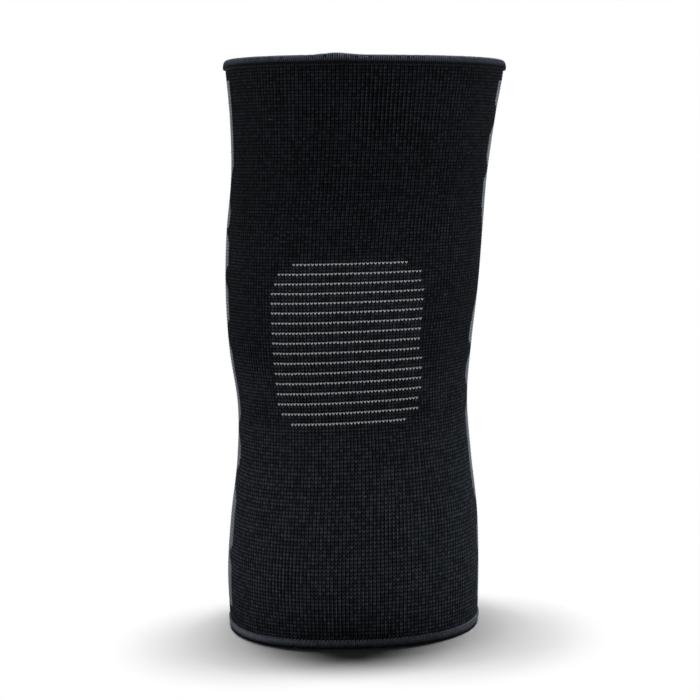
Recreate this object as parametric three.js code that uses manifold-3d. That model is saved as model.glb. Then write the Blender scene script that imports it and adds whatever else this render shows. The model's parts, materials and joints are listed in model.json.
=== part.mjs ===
// A knitted compression knee sleeve, standing on its calf rim, filled out as a leg fills it.
// Millimetres, +Z up. The back of the knee faces -Y, the kneecap faces +Y.
// Turns are degrees round the sleeve from the back of the knee, growing towards +X.
import * as THREE from 'three';
import { mergeVertices } from 'three/addons/utils/BufferGeometryUtils.js';
import Module from 'manifold-3d';

const wasm = await Module();
wasm.setup();

// Driving sizes of the sleeve as worn
const sleeveHeight = 270;
const thighWidth = 132.5;
const thighDepth = 128;
const kneeWidth = 123;
const kneeDepth = 115;
const neckWidth = 111;
const neckDepth = 108;
const calfWidth = 121.8;
const calfDepth = 118;
const wallThickness = 2.2;
const clearance = 0.3;

// How the leg inside bends it: the thigh leans to +X, the knee stands forward of the calf
const thighLean = 15.6;
const kneeForward = 6.5;
const topRimSlope = 2.3;
const calfLopsidedness = 0.1;

// Kneecap swelling at the front and hollow at the back of the knee
const kneecapRise = 5;
const kneecapHeight = 158;
const kneecapLength = 62;
const kneecapTurn = 62;
const kneePitDepth = 3.5;
const kneePitHeight = 140;
const kneePitLength = 84;
const kneePitTurn = 68;

// Overlocked hems
const hemHeight = 4.2;
const hemLip = 1;
const calfHemLip = 0.5;
const hemCap = 1.2;
const hemChamfer = 0.6;
const hemFlatInset = 0.8;
const lapTurn = -12;
const lapWidth = 14;
const lapThickness = 0.9;

// Panel at the back of the knee
const panelWidth = 76.4;
const panelHeight = 78;
const panelMiddle = 140;
const panelTurn = -2.1;

// Side zones
const zoneWidth = 52;
const zoneWaist = 20;
const leftZoneTurn = -98;
const rightZoneTurn = 96;
const zoneFromThighRim = 9;
const zoneFromCalfRim = 12;

// Mesh steps
const columns = 48;
const wallRows = 16;
const zoneStep = 15;
const zoneLeastStep = 2;
const zoneColumns = 4;
const panelColumns = 8;

const knitBlack = { color: 0x121317, roughness: 0.95, metalness: 0 };
const knitRibbed = { color: 0x22252a, roughness: 0.95, metalness: 0 };
const knitGrey = { color: 0x6a6d72, roughness: 0.92, metalness: 0 };
const hemBlack = { color: 0x23262b, roughness: 0.9, metalness: 0 };

// Sections at equal steps from the calf rim to the thigh rim. sideways is a share of thighLean, forward of
// kneeForward, slope of topRimSlope and lopsided of calfLopsidedness. squareness 2 is an ellipse.
const sections = [
  {
    width: 0.987 * calfWidth, depth: 0.97 * calfDepth, squareness: 2.38,
    sideways: -0.03, forward: 0, slope: 0, lopsided: 0.6,
  },
  {
    width: 0.998 * calfWidth, depth: calfDepth, squareness: 2.36,
    sideways: 0.01, forward: 0, slope: 0, lopsided: 0.6,
  },
  {
    width: 0.978 * calfWidth, depth: 0.98 * calfDepth, squareness: 2.35,
    sideways: 0.11, forward: 0.06, slope: -0.1, lopsided: 0.5,
  },
  {
    width: 1.02 * neckWidth, depth: 1.03 * neckDepth, squareness: 2.3,
    sideways: 0.19, forward: 0.23, slope: -0.15, lopsided: 0.3,
  },
  {
    width: neckWidth, depth: neckDepth, squareness: 2.25,
    sideways: 0.22, forward: 0.46, slope: -0.1, lopsided: 0.1,
  },
  {
    width: 0.953 * kneeWidth, depth: 0.96 * kneeDepth, squareness: 2.2,
    sideways: 0.23, forward: 0.85, slope: 0.15, lopsided: 0,
  },
  {
    width: 0.99 * kneeWidth, depth: kneeDepth, squareness: 2.2,
    sideways: 0.34, forward: 1, slope: 0.4, lopsided: 0,
  },
  {
    width: kneeWidth, depth: 1.02 * kneeDepth, squareness: 2.2,
    sideways: 0.49, forward: 0.92, slope: 0.6, lopsided: 0,
  },
  {
    width: 0.923 * thighWidth, depth: 0.945 * thighDepth, squareness: 2.2,
    sideways: 0.7, forward: 0.77, slope: 0.78, lopsided: 0,
  },
  {
    width: 0.952 * thighWidth, depth: 0.975 * thighDepth, squareness: 2.2,
    sideways: 0.87, forward: 0.62, slope: 0.92, lopsided: 0,
  },
  {
    width: thighWidth, depth: thighDepth, squareness: 2.2,
    sideways: 1, forward: 0.62, slope: 1, lopsided: 0,
  },
];

// Outline of the back panel: height as a share of panelHeight, width as a share of panelWidth
const panelOutline = [
  { height: 0, width: 0.7 },
  { height: 0.035, width: 0.75 },
  { height: 0.09, width: 0.92 },
  { height: 0.2, width: 0.985 },
  { height: 0.4, width: 1 },
  { height: 0.8, width: 0.99 },
  { height: 0.86, width: 0.945 },
  { height: 0.91, width: 0.9 },
  { height: 0.97, width: 0.735 },
  { height: 1, width: 0.7 },
];

// Waists where black knitting bites into each grey zone: height and length as shares of sleeveHeight,
// bite as a share of the way from zoneWidth to zoneWaist
const leftWaists = [
  { height: 0.781, length: 0.045, bite: 1 },
  { height: 0.708, length: 0.015, bite: 0.6 },
  { height: 0.63, length: 0.025, bite: 0.8 },
  { height: 0.53, length: 0.035, bite: 1 },
  { height: 0.365, length: 0.028, bite: 0.7 },
  { height: 0.275, length: 0.038, bite: 1 },
  { height: 0.14, length: 0.025, bite: 0.45 },
];
const rightWaists = [
  { height: 0.9, length: 0.035, bite: 1 },
  { height: 0.81, length: 0.025, bite: 0.5 },
  { height: 0.64, length: 0.14, bite: 1 },
  { height: 0.485, length: 0.025, bite: 0.8 },
  { height: 0.405, length: 0.032, bite: 1 },
  { height: 0.2, length: 0.036, bite: 1 },
  { height: 0.12, length: 0.022, bite: 0.5 },
];

const radians = THREE.MathUtils.degToRad;
const lerp = THREE.MathUtils.lerp;
const bell = (distance, length) => Math.exp(-((distance / (length / 2)) ** 2));

// Catmull-Rom value between b and c at share t
function spline(a, b, c, d, t) {
  const slopeIn = (c - a) / 2;
  const slopeOut = (d - b) / 2;
  const cubic = 2 * (b - c) + slopeIn + slopeOut;
  const square = 3 * (c - b) - 2 * slopeIn - slopeOut;
  return ((cubic * t + square) * t + slopeIn) * t + b;
}

// Section of the sleeve at a height, each column splined between its neighbours
function sectionAt(height) {
  const last = sections.length - 1;
  const place = THREE.MathUtils.clamp(height / sleeveHeight, 0, 1) * last;
  const index = Math.min(Math.floor(place), last - 1);
  const around = [-1, 0, 1, 2].map((step) => sections[THREE.MathUtils.clamp(index + step, 0, last)]);
  const value = (name) => spline(...around.map((row) => row[name]), place - index);
  return {
    width: value('width'),
    depth: value('depth'),
    squareness: value('squareness'),
    sideways: value('sideways') * thighLean,
    forward: value('forward') * kneeForward,
    slope: value('slope') * topRimSlope,
    lopsided: value('lopsided') * calfLopsidedness,
  };
}

// Distance between two turns, the short way round
const turnBetween = (a, b) => Math.abs(THREE.MathUtils.euclideanModulo(a - b + 180, 360) - 180);

// Point of the sleeve at a turn and height, outside its outer face by outward
function skin(turn, height, outward = 0) {
  const section = sectionAt(height);
  const across = Math.sin(radians(turn));
  const along = -Math.cos(radians(turn));
  const full = Math.pow(Math.abs(across) / (section.width / 2), section.squareness)
    + Math.pow(Math.abs(along) / (section.depth / 2), section.squareness);
  const kneecap = bell(turnBetween(turn, 180), kneecapTurn) * bell(height - kneecapHeight, kneecapLength);
  const pit = bell(turnBetween(turn, 0), kneePitTurn) * bell(height - kneePitHeight, kneePitLength);
  const lopside = 1 + section.lopsided * across * Math.max(0, -along);
  const radius = Math.pow(full, -1 / section.squareness) * lopside
    + kneecapRise * kneecap - kneePitDepth * pit + outward;
  const x = radius * across;
  const drop = x * Math.tan(radians(section.slope));
  return new THREE.Vector3(section.sideways + x, section.forward + radius * along, height - drop);
}

// Mesh from a ring of rows of points, the last joined to the first. closedColumns joins each row's ends,
// and extraFaces close the mesh where it doesn't.
function gridGeometry(grid, closedColumns, extraFaces = []) {
  const rowLength = grid[0].length;
  const positions = grid.flat().flatMap((point) => point.toArray());
  const faces = [];
  for (let row = 0; row < grid.length; row += 1) {
    const next = (row + 1) % grid.length;
    const steps = closedColumns ? rowLength : rowLength - 1;
    for (let column = 0; column < steps; column += 1) {
      const beside = (column + 1) % rowLength;
      const a = row * rowLength + column;
      const b = row * rowLength + beside;
      const c = next * rowLength + beside;
      const d = next * rowLength + column;
      faces.push(a, b, c, a, c, d);
    }
  }
  const geometry = new THREE.BufferGeometry();
  geometry.setAttribute('position', new THREE.Float32BufferAttribute(positions, 3));
  geometry.setIndex([...faces, ...extraFaces]);
  return geometry;
}

// Ring swept round the sleeve: profile(turn) lists {height, outward} corners, anticlockwise when seen
// with outward to the right and height up
function ringGeometry(profile) {
  const turns = Array.from({ length: columns }, (_, column) => (360 * column) / columns);
  const corners = profile(0).length;
  const grid = Array.from({ length: corners }, (_, corner) => turns.map((turn) => {
    const { height, outward } = profile(turn)[corner];
    return skin(turn, height, outward);
  }));
  return gridGeometry(grid, true);
}

// Knitted wall between two heights
function wallGeometry(low, high) {
  const profile = [];
  for (let row = 0; row <= wallRows; row += 1) {
    profile.push({ height: lerp(low, high, row / wallRows), outward: 0 });
  }
  for (let row = wallRows; row >= 0; row -= 1) {
    profile.push({ height: lerp(low, high, row / wallRows), outward: -wallThickness });
  }
  return ringGeometry(() => profile);
}

// Area of the wall: rows list {height, from, to}, with turns, from the lowest to the highest
function areaGeometry(rows, steps, outward, inward) {
  const face = (distance, row) => Array.from({ length: steps + 1 }, (_, step) => (
    skin(lerp(row.from, row.to, step / steps), row.height, distance)
  ));
  const outer = rows.map((row) => face(outward, row));
  const inner = rows.map((row) => face(-inward, row)).reverse();
  const grid = [...outer, ...inner];
  const rowLength = steps + 1;
  const sides = [];
  for (let row = 0; row < rows.length - 1; row += 1) {
    const behind = grid.length - 1 - row;
    const quads = [
      [row, row + 1, behind - 1, behind].map((index) => index * rowLength),
      [behind, behind - 1, row + 1, row].map((index) => index * rowLength + steps),
    ];
    for (const [a, b, c, d] of quads) {
      sides.push(a, b, c, a, c, d);
    }
  }
  return gridGeometry(grid, false, sides);
}

// The same rows, wider all round by a gap
function widened(rows, gap, radius) {
  const degrees = THREE.MathUtils.radToDeg(1 / radius);
  const steepness = (row, other, side) => (
    other ? (other[side] - row[side]) / degrees / (other.height - row.height) : 0
  );
  return rows.map((row, index) => {
    const spread = (side) => gap * degrees * Math.max(...[index - 1, index + 1].map((near) => (
      Math.hypot(1, steepness(row, rows[near], side))
    )));
    const ends = { 0: -gap, [rows.length - 1]: gap };
    return {
      height: row.height + (ends[index] ?? 0),
      from: row.from - spread('from'),
      to: row.to + spread('to'),
    };
  });
}

function solid(geometry) {
  const merged = mergeVertices(geometry);
  return new wasm.Manifold(new wasm.Mesh({
    numProp: 3,
    vertProperties: merged.attributes.position.array,
    triVerts: new Uint32Array(merged.index.array),
  }));
}

function geometryOf(manifold) {
  const mesh = manifold.getMesh();
  const geometry = new THREE.BufferGeometry();
  geometry.setAttribute('position', new THREE.Float32BufferAttribute(mesh.vertProperties, 3));
  geometry.setIndex([...mesh.triVerts]);
  return geometry;
}

function panelRows() {
  const radius = (kneeWidth + kneeDepth) / 4;
  return panelOutline.map(({ height, width }) => {
    const half = THREE.MathUtils.radToDeg((width * panelWidth) / 2 / radius);
    return {
      height: panelMiddle + (height - 0.5) * panelHeight,
      from: panelTurn - half,
      to: panelTurn + half,
    };
  });
}

// Heights at which a zone's edges are drawn: at and beside each waist, and at least every zoneStep
function zoneHeights(waists, low, high) {
  const beside = waists.flatMap((waist) => [-1, -0.5, 0, 0.5, 1].map((share) => (
    (waist.height + share * waist.length) * sleeveHeight
  )));
  const steps = Math.ceil((high - low) / zoneStep);
  const even = Array.from({ length: steps - 1 }, (_, step) => lerp(low, high, (step + 1) / steps));
  const kept = [low, high];
  for (const height of [...beside, ...even]) {
    const clear = kept.every((other) => Math.abs(other - height) > zoneLeastStep);
    if (height > low && height < high && clear) {
      kept.push(height);
    }
  }
  return kept.sort((a, b) => a - b);
}

// turn is where the middle of the zone lies
function zoneRowsOf(turn, waists) {
  const radius = (kneeWidth + kneeDepth) / 4;
  const heights = zoneHeights(waists, zoneFromCalfRim, sleeveHeight - zoneFromThighRim);
  return heights.map((height) => {
    const swell = waists.reduce((share, waist) => (
      share * (1 - waist.bite * bell(height - waist.height * sleeveHeight, waist.length * sleeveHeight))
    ), 1);
    const half = THREE.MathUtils.radToDeg(lerp(zoneWaist, zoneWidth, swell) / 2 / radius);
    return { height, from: turn - half, to: turn + half };
  });
}

// Hem that wraps the end of the wall. atTop says which rim it is on, lip how thick it is outside the wall,
// and lap how much it thickens at a turn.
function hemGeometry(atTop, lip, lap) {
  const wallInside = -wallThickness;
  const outside = clearance + lip;
  const inside = wallInside - clearance - hemLip;
  const profile = (turn) => {
    const extra = lap(turn);
    const fromEnd = [
      { depth: hemHeight, outward: clearance },
      { depth: hemHeight, outward: outside - hemChamfer / 2 },
      { depth: hemHeight - hemChamfer, outward: outside + extra },
      { depth: hemCap, outward: outside + extra },
      { depth: hemChamfer / 2 - extra, outward: outside - hemChamfer },
      { depth: -extra, outward: outside - hemChamfer - hemFlatInset },
      { depth: -extra, outward: inside + hemChamfer + hemFlatInset },
      { depth: hemChamfer / 2 - extra, outward: inside + hemChamfer },
      { depth: hemCap, outward: inside },
      { depth: hemHeight - hemChamfer, outward: inside },
      { depth: hemHeight, outward: inside + hemChamfer / 2 },
      { depth: hemHeight, outward: wallInside - clearance },
      { depth: hemCap, outward: wallInside - clearance },
      { depth: hemCap, outward: clearance },
    ];
    const corners = fromEnd.map(({ depth, outward }) => ({
      height: atTop ? sleeveHeight - depth : depth,
      outward,
    }));
    return atTop ? corners : corners.reverse();
  };
  return ringGeometry(profile);
}

function piece(name, geometry, finish) {
  const mesh = new THREE.Mesh(geometry, new THREE.MeshStandardMaterial(finish));
  mesh.name = name;
  return mesh;
}

const wallEnd = hemCap + clearance;
const areas = [
  { name: 'knee_back_panel', rows: panelRows(), steps: panelColumns, finish: knitRibbed },
  { name: 'side_zone_left', rows: zoneRowsOf(leftZoneTurn, leftWaists), steps: zoneColumns, finish: knitGrey },
  { name: 'side_zone_right', rows: zoneRowsOf(rightZoneTurn, rightWaists), steps: zoneColumns, finish: knitGrey },
];

const wallRadius = (neckWidth + neckDepth) / 4;
const cutterReach = 2 * wallThickness;
const wall = areas.reduce((rest, area) => {
  const cutter = areaGeometry(
    widened(area.rows, clearance, wallRadius),
    area.steps,
    cutterReach,
    wallThickness + cutterReach,
  );
  return rest.subtract(solid(cutter));
}, solid(wallGeometry(wallEnd, sleeveHeight - wallEnd)));

const sleeve = new THREE.Group();
sleeve.add(piece('knit_tube', geometryOf(wall), knitBlack));
for (const area of areas) {
  sleeve.add(piece(area.name, areaGeometry(area.rows, area.steps, 0, wallThickness), area.finish));
}
const topLap = (turn) => lapThickness * bell(turnBetween(turn, lapTurn), lapWidth);
sleeve.add(piece('top_hem', hemGeometry(true, hemLip, topLap), hemBlack));
sleeve.add(piece('bottom_hem', hemGeometry(false, calfHemLip, () => 0), hemBlack));

// The origin lies under the middle of the sleeve, on the plane that it stands on
const extent = new THREE.Box3().setFromObject(sleeve);
const middle = extent.getCenter(new THREE.Vector3());
sleeve.position.set(-middle.x, -middle.y, -extent.min.z);

export default sleeve;
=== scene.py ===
"""Dresses the knee sleeve in its knitting: the black wall, the panel with its light courses,
the grey side zones, the overlocked hems and the loose thread and lint on them.

Sizes in the fields are millimetres and turns are degrees round the sleeve, from the back of the
knee (-Y) towards +X. Meshes are made in metres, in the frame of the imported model.
"""

from __future__ import annotations

import json
import logging
import math
from dataclasses import dataclass, field
from enum import Enum

import bpy
import numpy as np
from mathutils import Matrix, Vector

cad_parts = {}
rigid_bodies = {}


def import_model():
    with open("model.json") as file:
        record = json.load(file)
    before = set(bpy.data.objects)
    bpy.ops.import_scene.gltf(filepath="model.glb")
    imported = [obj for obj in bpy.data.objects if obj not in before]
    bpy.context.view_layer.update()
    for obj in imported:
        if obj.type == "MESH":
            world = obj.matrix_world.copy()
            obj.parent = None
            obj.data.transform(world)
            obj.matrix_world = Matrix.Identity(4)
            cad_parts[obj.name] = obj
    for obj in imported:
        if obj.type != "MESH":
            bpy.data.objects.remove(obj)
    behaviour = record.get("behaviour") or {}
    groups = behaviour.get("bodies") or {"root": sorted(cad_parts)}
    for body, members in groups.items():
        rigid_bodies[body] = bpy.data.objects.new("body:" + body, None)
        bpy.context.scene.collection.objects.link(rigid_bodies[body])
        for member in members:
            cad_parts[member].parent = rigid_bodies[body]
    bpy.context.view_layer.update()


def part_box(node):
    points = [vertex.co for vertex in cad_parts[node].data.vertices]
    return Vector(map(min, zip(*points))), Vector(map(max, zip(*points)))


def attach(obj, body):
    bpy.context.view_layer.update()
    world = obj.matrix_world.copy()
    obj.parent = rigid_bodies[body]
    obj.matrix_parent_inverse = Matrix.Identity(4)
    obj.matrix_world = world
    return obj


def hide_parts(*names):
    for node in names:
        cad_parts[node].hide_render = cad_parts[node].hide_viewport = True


log = logging.getLogger("knee_sleeve")

MM = 0.001
SEED = 7

Array = np.ndarray
Colour = tuple[float, float, float]


def bell(distance: Array | float, length: float) -> Array | float:
    """Smooth hump.

    Args:
        distance: how far from its middle.
        length: its length, where it has fallen to about a third.

    Returns:
        1 at the middle, fading to 0.
    """
    return np.exp(-((distance / (length / 2)) ** 2))


def turn_between(first: Array | float, second: float) -> Array | float:
    """Degrees between two turns, the short way round."""
    return np.abs(np.mod(first - second + 180, 360) - 180)


@dataclass(frozen=True)
class LegSection:
    """The leg inside the sleeve at one level. Squareness 2 is an ellipse."""

    width: float
    depth: float
    squareness: float
    sideways: float
    forward: float
    slope: float
    lopsided: float


def leg_sections() -> list[LegSection]:
    """Levels at equal steps from the calf rim to the thigh rim."""
    return [
        LegSection(120.22, 114.46, 2.38, -0.47, 0.0, 0.0, 0.06),
        LegSection(121.56, 118.0, 2.36, 0.16, 0.0, 0.0, 0.06),
        LegSection(119.12, 115.64, 2.35, 1.72, 0.39, -0.23, 0.05),
        LegSection(113.22, 111.24, 2.3, 2.96, 1.5, -0.345, 0.03),
        LegSection(111.0, 108.0, 2.25, 3.43, 2.99, -0.23, 0.01),
        LegSection(117.22, 110.4, 2.2, 3.59, 5.53, 0.345, 0.0),
        LegSection(121.77, 115.0, 2.2, 5.3, 6.5, 0.92, 0.0),
        LegSection(123.0, 117.3, 2.2, 7.64, 5.98, 1.38, 0.0),
        LegSection(122.3, 120.96, 2.2, 10.92, 5.01, 1.79, 0.0),
        LegSection(126.14, 124.8, 2.2, 13.57, 4.03, 2.12, 0.0),
        LegSection(132.5, 128.0, 2.2, 15.6, 4.03, 2.3, 0.0),
    ]


@dataclass
class LegForm:
    """Outer face of the sleeve, filled out by the leg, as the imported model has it."""

    height: float = 270.0
    kneecap_rise: float = 5.0
    kneecap_height: float = 158.0
    kneecap_size: float = 62.0
    pit_depth: float = 3.5
    pit_height: float = 140.0
    pit_length: float = 84.0
    pit_turn: float = 68.0
    hem_reach: float = 0.8
    hem_level: float = 2.1
    sections: list[LegSection] = field(default_factory=leg_sections)
    middle: Array = field(default_factory=lambda: np.zeros(3))

    def settle(self) -> None:
        """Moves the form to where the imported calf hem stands."""
        low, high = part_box("bottom_hem")
        turns = np.arange(0, 360, 7.5)
        ring = self.skin(turns, np.full(len(turns), self.hem_level), self.hem_reach) / MM
        hem_middle = (np.array(low) + np.array(high)) / 2 / MM
        own_middle = (ring.min(axis=0) + ring.max(axis=0)) / 2
        self.middle = np.array([hem_middle[0] - own_middle[0], hem_middle[1] - own_middle[1], 0.0])
        log.info("leg form stands at %s mm", np.round(self.middle, 2))

    def levels(self, height: Array) -> dict[str, Array]:
        """Section sizes at any heights, splined between the levels.

        Args:
            height: millimetres above the calf rim.

        Returns:
            An array of the same shape for each size of a section.
        """
        last = len(self.sections) - 1
        place = np.clip(height / self.height, 0, 1) * last
        index = np.minimum(np.floor(place).astype(int), last - 1)
        share = place - index
        sizes = {}
        for name in LegSection.__dataclass_fields__:
            column = np.array([getattr(section, name) for section in self.sections])
            a, b, c, d = (column[np.clip(index + step, 0, last)] for step in (-1, 0, 1, 2))
            slope_in, slope_out = (c - a) / 2, (d - b) / 2
            cubic = 2 * (b - c) + slope_in + slope_out
            square = 3 * (c - b) - 2 * slope_in - slope_out
            sizes[name] = ((cubic * share + square) * share + slope_in) * share + b
        return sizes

    def skin(self, turn: Array, height: Array, outward: Array | float = 0.0) -> Array:
        """Points of the outer face.

        Args:
            turn: degrees round the sleeve.
            height: millimetres above the calf rim, of the same shape as turn.
            outward: millimetres outside the face.

        Returns:
            Points in metres, one row of three for each turn.
        """
        level = self.levels(height)
        across, along = np.sin(np.radians(turn)), -np.cos(np.radians(turn))
        power = level["squareness"]
        full = (np.abs(across) / (level["width"] / 2)) ** power + (
            np.abs(along) / (level["depth"] / 2)
        ) ** power
        kneecap = bell(turn_between(turn, 180), self.kneecap_size) * bell(
            height - self.kneecap_height, self.kneecap_size
        )
        pit = bell(turn_between(turn, 0), self.pit_turn) * bell(
            height - self.pit_height, self.pit_length
        )
        lopside = 1 + level["lopsided"] * across * np.maximum(0, -along)
        radius = (
            full ** (-1 / power) * lopside
            + self.kneecap_rise * kneecap
            - self.pit_depth * pit
            + outward
        )
        x = radius * across
        drop = x * np.tan(np.radians(level["slope"]))
        point = np.stack(
            [level["sideways"] + x, level["forward"] + radius * along, height - drop], axis=-1
        )
        return (point + self.middle) * MM

    def directions(self, turn: Array, height: Array) -> tuple[Array, Array, Array]:
        """Directions of the face at some places.

        Args:
            turn: degrees round the sleeve.
            height: millimetres above the calf rim, of the same shape.

        Returns:
            Unit vectors along the ring, up the face and out of it.
        """
        ahead = self.skin(turn + 0.5, height) - self.skin(turn - 0.5, height)
        rise = self.skin(turn, height + 0.5) - self.skin(turn, height - 0.5)
        around = ahead / np.linalg.norm(ahead, axis=-1, keepdims=True)
        outward = np.cross(around, rise)
        outward /= np.linalg.norm(outward, axis=-1, keepdims=True)
        return around, np.cross(outward, around), outward


@dataclass
class StitchGrid:
    """Stitch columns and rows laid over the leg, finer in each length from the calf upward."""

    leg: LegForm
    columns: int = 216
    low: float = 1.5
    high: float = 268.3
    coarse_rows: int = 51
    change: float = 91.38
    knee_rows: int = 42
    knee_pitch: float = 1.536
    thigh_pitch: float = 1.472
    sway: float = 0.55
    slant: float = 0.6
    wall: float = 2.2
    relief: float = 0.34
    sunk: float = 0.14
    across: int = 4
    upward: int = 2
    valley: tuple[float, ...] = (0.0, 0.3, 0.2, 0.3)
    crest: tuple[float, ...] = (0.25, 1.0, 0.75, 1.0)

    @property
    def row_lines(self) -> Array:
        """Heights of the lines between rows, from the calf rim to the thigh rim."""
        coarse = np.linspace(self.low, self.change, self.coarse_rows + 1)
        knee = self.change + self.knee_pitch * np.arange(1, self.knee_rows + 1)
        thigh = np.arange(knee[-1] + self.thigh_pitch, self.high, self.thigh_pitch)
        return np.concatenate([coarse, knee, thigh])

    @property
    def rows(self) -> int:
        """Number of rows of stitches."""
        return len(self.row_lines) - 1

    def height_at(self, row: Array) -> Array:
        """Height of any place in the rows, in millimetres."""
        return np.interp(row, np.arange(self.rows + 1), self.row_lines)

    def place(self, turn: Array, height: Array, outward: Array | float) -> Array:
        """Points on the rows, which rise a little towards +X between the two rims."""
        share = np.clip((height - self.low) / (self.high - self.low), 0, 1)
        rise = self.sway * np.sin(np.radians(turn)) * np.sin(np.pi * share)
        return self.leg.skin(turn, height + rise, outward)

    def turn_at(self, column: Array, height: Array) -> Array:
        """Turn of a stitch column, with equal stitches round the sleeve at each height.

        Args:
            column: columns from the back of the knee, negative towards -X.
            height: one height for each row of the result.

        Returns:
            Turns in degrees, a row for each height.
        """
        steps = np.linspace(0, 360, 721)
        turns = np.empty((len(height), len(column)))
        for index, level in enumerate(height):
            ring = self.leg.skin(steps, np.full(len(steps), level))
            gaps = np.linalg.norm(np.diff(ring, axis=0), axis=1)
            length = np.concatenate([[0], np.cumsum(gaps)])
            place = np.mod(column / self.columns, 1.0) * length[-1]
            turns[index] = np.interp(place, length, steps)
        return turns

    def outer_face(self) -> Array:
        """Points of the raised outer face, a row for each line of points upward."""
        cols = np.arange(self.columns * self.across) / self.across - self.columns / 2
        rows = np.arange(self.rows * self.upward + 1) / self.upward
        turns = self.turn_at(cols, self.height_at(rows))
        edge = np.abs(2 * np.mod(cols, 1.0) - 1)
        shifted = rows[:, None] + self.slant * (edge[None, :] - 0.5)
        heights = self.height_at(np.clip(shifted, 0, self.rows))
        pattern = np.array([self.valley, self.crest])
        level = np.arange(len(rows))[:, None] % self.upward
        lift = pattern[level, np.arange(len(cols))[None, :] % self.across]
        return self.place(turns, heights, lift * self.relief - self.sunk)

    def inner_face(self) -> Array:
        """Points of the smooth inner face, one for each stitch corner."""
        cols = np.arange(self.columns) - self.columns / 2
        heights = self.row_lines
        turns = self.turn_at(cols, heights)
        return self.place(turns, np.repeat(heights[:, None], len(cols), axis=1), -self.wall)

    def centres(self) -> tuple[Array, Array]:
        """Turn and height of every stitch, in arrays of rows by columns."""
        heights = self.height_at(np.arange(self.rows) + 0.5)
        cols = np.arange(self.columns) + 0.5 - self.columns / 2
        turns = np.mod(self.turn_at(cols, heights) + 180, 360) - 180
        return turns, np.repeat(heights[:, None], self.columns, axis=1)


class Area(Enum):
    """What a stitch belongs to."""

    TUBE = 0
    PANEL = 1
    LEFT_ZONE = 2
    RIGHT_ZONE = 3


@dataclass(frozen=True)
class Waist:
    """A bite of black knitting into a grey zone: shares of the sleeve's height and of the bite."""

    height: float
    length: float
    bite: float


@dataclass
class AreaChart:
    """Which stitches make the panel and the side zones, from the same outlines as the solids."""

    grid: StitchGrid
    radius: float = 59.5
    panel_width: float = 76.4
    panel_height: float = 78.0
    panel_middle: float = 140.0
    panel_turn: float = -2.1
    zone_width: float = 52.0
    zone_waist: float = 20.0
    left_zone_turn: float = -98.0
    right_zone_turn: float = 96.0
    zone_low: float = 12.0
    zone_high: float = 261.0
    panel_outline: tuple[tuple[float, float], ...] = (
        (0.0, 0.7),
        (0.035, 0.75),
        (0.09, 0.92),
        (0.2, 0.985),
        (0.4, 1.0),
        (0.8, 0.99),
        (0.86, 0.945),
        (0.91, 0.9),
        (0.97, 0.735),
        (1.0, 0.7),
    )
    left_waists: tuple[Waist, ...] = (
        Waist(0.781, 0.045, 1.0),
        Waist(0.708, 0.015, 0.6),
        Waist(0.63, 0.025, 0.8),
        Waist(0.53, 0.035, 1.0),
        Waist(0.365, 0.028, 0.7),
        Waist(0.275, 0.038, 1.0),
        Waist(0.14, 0.025, 0.45),
    )
    right_waists: tuple[Waist, ...] = (
        Waist(0.9, 0.035, 1.0),
        Waist(0.81, 0.025, 0.5),
        Waist(0.64, 0.14, 1.0),
        Waist(0.485, 0.025, 0.8),
        Waist(0.405, 0.032, 1.0),
        Waist(0.2, 0.036, 1.0),
        Waist(0.12, 0.022, 0.5),
    )

    def chart(self) -> Array:
        """Area number of every stitch, rows by columns."""
        turns, heights = self.grid.centres()
        areas = np.full(turns.shape, Area.TUBE.value)
        left = self.in_zone(turns, heights, self.left_zone_turn, self.left_waists)
        right = self.in_zone(turns, heights, self.right_zone_turn, self.right_waists)
        areas[left] = Area.LEFT_ZONE.value
        areas[right] = Area.RIGHT_ZONE.value
        areas[self.in_panel(turns, heights)] = Area.PANEL.value
        return areas

    def in_panel(self, turns: Array, heights: Array) -> Array:
        """Finds the stitches of the panel at the back of the knee.

        Args:
            turns: degrees of every stitch.
            heights: millimetres above the calf rim of every stitch.

        Returns:
            True where a stitch is the panel's.
        """
        share = (heights - self.panel_middle) / self.panel_height + 0.5
        levels, widths = zip(*self.panel_outline)
        half = np.degrees(np.interp(share, levels, widths) * self.panel_width / 2 / self.radius)
        inside = (share >= 0) & (share <= 1)
        return inside & (np.abs(turns - self.panel_turn) <= half)

    def in_zone(
        self, turns: Array, heights: Array, middle: float, waists: tuple[Waist, ...]
    ) -> Array:
        """Finds the stitches of a side zone.

        Args:
            turns: degrees of every stitch.
            heights: millimetres above the calf rim of every stitch.
            middle: turn of the zone's middle.
            waists: the black bites into it.

        Returns:
            True where a stitch is the zone's.
        """
        total = self.grid.leg.height
        swell = np.ones_like(heights)
        for waist in waists:
            swell *= 1 - waist.bite * bell(heights - waist.height * total, waist.length * total)
        width = self.zone_waist + (self.zone_width - self.zone_waist) * swell
        half = np.degrees(width / 2 / self.radius)
        inside = (heights >= self.zone_low) & (heights <= self.zone_high)
        return inside & (np.abs(turns - middle) <= half)


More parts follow.
